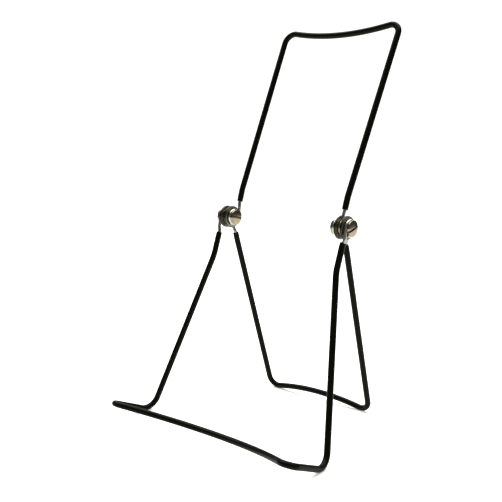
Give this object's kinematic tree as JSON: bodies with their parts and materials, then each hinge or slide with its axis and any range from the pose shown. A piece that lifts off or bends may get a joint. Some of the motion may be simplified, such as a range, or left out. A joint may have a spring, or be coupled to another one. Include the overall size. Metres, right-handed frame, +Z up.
{
  "type": "photo album stand",
  "caption": "Folding wire display stand for an album: a splayed front frame with a ledge, a hinged back rest and a hinged rear leg on slotted pivot bolts.",
  "frame": {"origin": "on the table, under the middle of the stand's bounding box, as it stands open", "axes": "+X along the pivots' axis, to the right as seen from the front, +Y to the back, +Z up"},
  "size_m": [0.1732, 0.1678, 0.2915],
  "materials": {
    "black_vinyl": "semi-gloss dipped vinyl sleeve",
    "bare_wire": "bright drawn steel wire",
    "plated_steel": "warm nickel plating, polished",
    "dark_washer": "dark oiled steel washer, semi-gloss"
  },
  "bodies": {
    "front_frame": {"front_frame_wire": "bare_wire", "front_frame_sleeve": "black_vinyl", "bolt_left": "plated_steel", "bolt_right": "plated_steel", "nut_left": "plated_steel", "nut_right": "plated_steel", "inner_washer_left": "dark_washer", "inner_washer_right": "dark_washer", "outer_washer_left": "dark_washer", "outer_washer_right": "dark_washer"},
    "top_frame": {"top_frame_wire": "bare_wire", "top_frame_sleeve": "black_vinyl"},
    "rear_leg": {"rear_leg_wire": "bare_wire", "rear_leg_sleeve": "black_vinyl"}
  },
  "joints": [
    {"name": "top_frame_tilt", "type": "hinge", "parent": "front_frame", "child": "top_frame", "pos_m": [0, 0.01422, 0.1479], "axis": [1, 0, 0], "range_deg": [-90, 165]},
    {"name": "rear_leg_fold", "type": "hinge", "parent": "front_frame", "child": "rear_leg", "pos_m": [0, 0.01422, 0.1479], "axis": [1, 0, 0], "range_deg": [-36, 20]}
  ]
}
